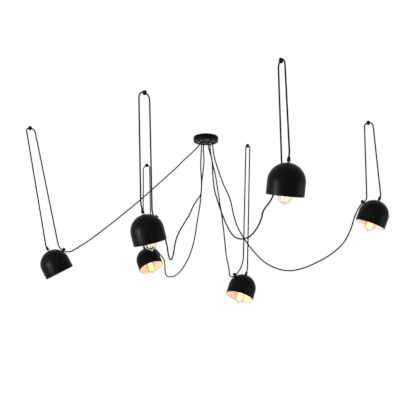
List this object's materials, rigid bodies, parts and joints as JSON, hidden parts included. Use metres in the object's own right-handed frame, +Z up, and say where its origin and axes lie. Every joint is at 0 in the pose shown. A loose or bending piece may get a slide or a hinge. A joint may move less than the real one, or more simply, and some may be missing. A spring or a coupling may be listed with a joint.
{
  "type": "swag pendant chandelier",
  "caption": "Swag chandelier: one round ceiling canopy feeds dome-shaded lamps on slack cords, each clamped at its shade's shoulder and looped over its own ceiling hook.",
  "frame": {"origin": "centre of the ceiling bracket's top face, on the ceiling", "axes": "+Z up, out of the bracket's top face into the ceiling; +X to the right and +Y away from the viewer in the front view; the bracket runs along X"},
  "size_m": [2.0468, 1.8477, 1.0027],
  "materials": {
    "satin_black_metal": "satin black powder coat, white inside the shades",
    "black_plastic": "fine satin",
    "black_cable": "limp round cable",
    "zinc": "bright zinc",
    "white_plastic": "moulded",
    "clear_glass": "clear, lit warm"
  },
  "bodies": {
    "ceiling_set": {"ceiling_bracket": "zinc", "terminal_block": "white_plastic", "canopy_cover": "satin_black_metal", "cover_screw_right": "satin_black_metal", "cover_screw_left": "satin_black_metal", "ceiling_hook_1": "satin_black_metal", "ceiling_hook_2": "satin_black_metal", "ceiling_hook_3": "satin_black_metal", "ceiling_hook_4": "satin_black_metal", "ceiling_hook_5": "satin_black_metal", "ceiling_hook_6": "satin_black_metal", "supply_cord_1": "black_cable", "supply_cord_2": "black_cable", "supply_cord_3": "black_cable", "supply_cord_4": "black_cable", "supply_cord_5": "black_cable", "supply_cord_6": "black_cable"},
    "lamp_1": {"shade_1": "satin_black_metal", "lampholder_1": "black_plastic", "bulb_1": "clear_glass", "cord_grip_1": "black_plastic", "cord_clamp_1": "satin_black_metal", "loop_cord_1": "black_cable"},
    "lamp_2": {"shade_2": "satin_black_metal", "lampholder_2": "black_plastic", "bulb_2": "clear_glass", "cord_grip_2": "black_plastic", "cord_clamp_2": "satin_black_metal", "loop_cord_2": "black_cable"},
    "lamp_3": {"shade_3": "satin_black_metal", "lampholder_3": "black_plastic", "bulb_3": "clear_glass", "cord_grip_3": "black_plastic", "cord_clamp_3": "satin_black_metal", "loop_cord_3": "black_cable"},
    "lamp_4": {"shade_4": "satin_black_metal", "lampholder_4": "black_plastic", "bulb_4": "clear_glass", "cord_grip_4": "black_plastic", "cord_clamp_4": "satin_black_metal", "loop_cord_4": "black_cable"},
    "lamp_5": {"shade_5": "satin_black_metal", "lampholder_5": "black_plastic", "bulb_5": "clear_glass", "cord_grip_5": "black_plastic", "cord_clamp_5": "satin_black_metal", "loop_cord_5": "black_cable"},
    "lamp_6": {"shade_6": "satin_black_metal", "lampholder_6": "black_plastic", "bulb_6": "clear_glass", "cord_grip_6": "black_plastic", "cord_clamp_6": "satin_black_metal", "loop_cord_6": "black_cable"},
    "knob_1": {"clamp_knob_1": "satin_black_metal"},
    "knob_2": {"clamp_knob_2": "satin_black_metal"},
    "knob_3": {"clamp_knob_3": "satin_black_metal"},
    "knob_4": {"clamp_knob_4": "satin_black_metal"},
    "knob_5": {"clamp_knob_5": "satin_black_metal"},
    "knob_6": {"clamp_knob_6": "satin_black_metal"}
  },
  "joints": [
    {"name": "lamp_1_swing", "type": "hinge", "parent": "ceiling_set", "child": "lamp_1", "pos_m": [-1.02182, -0.19307, -0.008], "axis": [0.9063, 0.4226, 0], "range_deg": [-10, 8], "deforming": ["supply_cord_1"]},
    {"name": "lamp_2_swing", "type": "hinge", "parent": "ceiling_set", "child": "lamp_2", "pos_m": [-0.30374, -0.7261, -0.008], "axis": [0.6428, 0.766, 0], "range_deg": [-10, 10], "deforming": ["supply_cord_2"]},
    {"name": "lamp_3_swing", "type": "hinge", "parent": "ceiling_set", "child": "lamp_3", "pos_m": [-0.41647, 0.58821, -0.008], "axis": [0.809, -0.5878, 0], "range_deg": [-10, 10], "deforming": ["supply_cord_3"]},
    {"name": "lamp_4_swing", "type": "hinge", "parent": "ceiling_set", "child": "lamp_4", "pos_m": [0.33638, -1.09343, -0.008], "axis": [-0.309, 0.9511, 0], "range_deg": [-10, 10], "deforming": ["supply_cord_4"]},
    {"name": "lamp_5_swing", "type": "hinge", "parent": "ceiling_set", "child": "lamp_5", "pos_m": [0.26464, 0.14071, -0.008], "axis": [-0.7986, -0.6018, 0], "range_deg": [-10, 10], "deforming": ["supply_cord_5"]},
    {"name": "lamp_6_swing", "type": "hinge", "parent": "ceiling_set", "child": "lamp_6", "pos_m": [0.92285, -0.28391, -0.008], "axis": [-0.9397, 0.342, 0], "range_deg": [-10, 10], "deforming": ["supply_cord_6"]},
    {"name": "clamp_1_knob_turn", "type": "hinge", "parent": "lamp_1", "child": "knob_1", "pos_m": [-0.81935, -0.09866, -0.71924], "axis": [0.4255, 0.1984, 0.8829], "range_deg": [0, 360]},
    {"name": "clamp_2_knob_turn", "type": "hinge", "parent": "lamp_2", "child": "knob_2", "pos_m": [-0.24714, -0.65865, -0.64134], "axis": [0.3868, 0.461, 0.7986], "range_deg": [0, 360]},
    {"name": "clamp_3_knob_turn", "type": "hinge", "parent": "lamp_3", "child": "knob_3", "pos_m": [-0.35282, 0.54196, -0.6105], "axis": [0.4287, -0.3115, 0.848], "range_deg": [0, 360]},
    {"name": "clamp_4_knob_turn", "type": "hinge", "parent": "lamp_4", "child": "knob_4", "pos_m": [0.32737, -1.06568, -0.50961], "axis": [-0.2007, 0.6177, 0.7604], "range_deg": [0, 360]},
    {"name": "clamp_5_knob_turn", "type": "hinge", "parent": "lamp_5", "child": "knob_5", "pos_m": [0.1769, 0.07459, -0.84334], "axis": [-0.4806, -0.3622, 0.7986], "range_deg": [0, 360]},
    {"name": "clamp_6_knob_turn", "type": "hinge", "parent": "lamp_6", "child": "knob_6", "pos_m": [0.87875, -0.26786, -0.47581], "axis": [-0.5457, 0.1986, 0.8141], "range_deg": [0, 360]}
  ]
}
